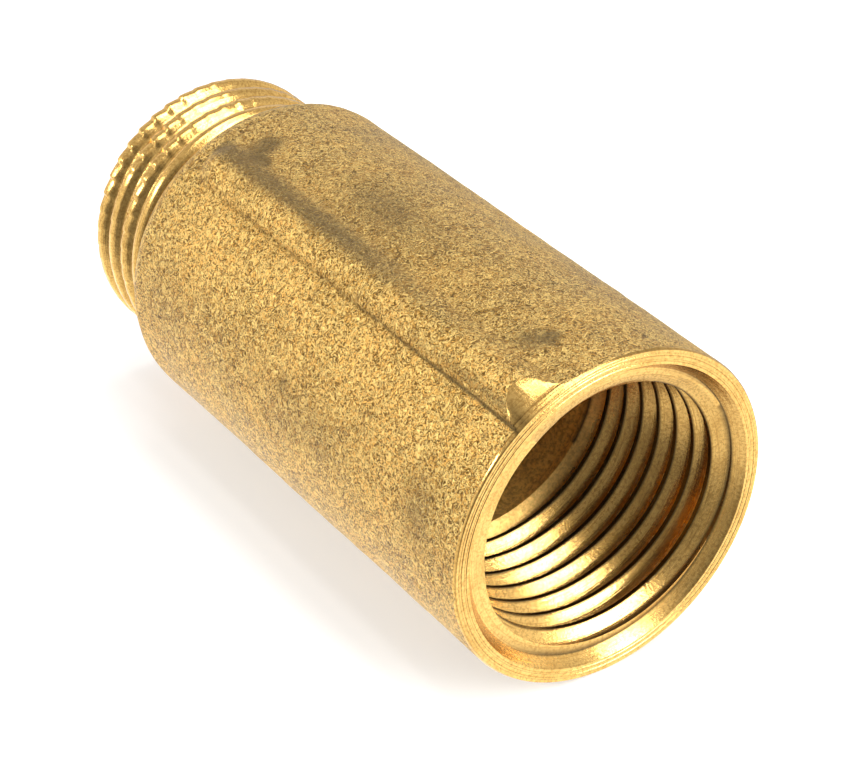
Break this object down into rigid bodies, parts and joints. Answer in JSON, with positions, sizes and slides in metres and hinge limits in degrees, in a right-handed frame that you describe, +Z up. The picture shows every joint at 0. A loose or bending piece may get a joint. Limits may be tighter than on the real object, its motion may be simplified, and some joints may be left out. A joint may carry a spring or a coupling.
{
  "type": "in-line spring check valve",
  "caption": "Long round brass in-line check valve with a male pipe thread inlet, a female pipe thread outlet and a sprung poppet inside.",
  "frame": {"origin": "on the flow axis, at the middle of the valve's length", "axes": "+X along the flow axis from the male inlet to the female outlet, +Z up with the valve lying on its side, +Y across"},
  "size_m": [0.051, 0.0242, 0.0242],
  "materials": {
    "cast_brass": "sand-cast brass skin, matt and grainy, bright where turned",
    "turned_brass": "fine turned, bright",
    "stainless_steel": "bright drawn",
    "black_rubber": "moulded, satin",
    "white_plastic": "turned, satin"
  },
  "bodies": {
    "body": {"valve_body": "cast_brass", "seat_ring": "turned_brass", "seat_o_ring": "black_rubber", "inlet_guide": "turned_brass", "inlet_bush": "white_plastic", "distance_sleeve": "stainless_steel", "outlet_guide": "turned_brass", "outlet_bush": "white_plastic", "support_washer": "stainless_steel", "retaining_ring": "stainless_steel", "return_spring": "stainless_steel"},
    "poppet": {"stem": "stainless_steel", "poppet_disc": "turned_brass", "poppet_seal": "black_rubber", "clamp_washer": "stainless_steel", "lock_washer": "stainless_steel", "clamp_nut": "stainless_steel", "stem_clip": "stainless_steel"}
  },
  "joints": [
    {"name": "poppet_lift", "type": "slide", "parent": "body", "child": "poppet", "axis": [1, 0, 0], "range_m": [0, 0.003], "stiffness_N_per_m": 590, "springref_m": -0.0011, "deforming": ["return_spring"]}
  ]
}
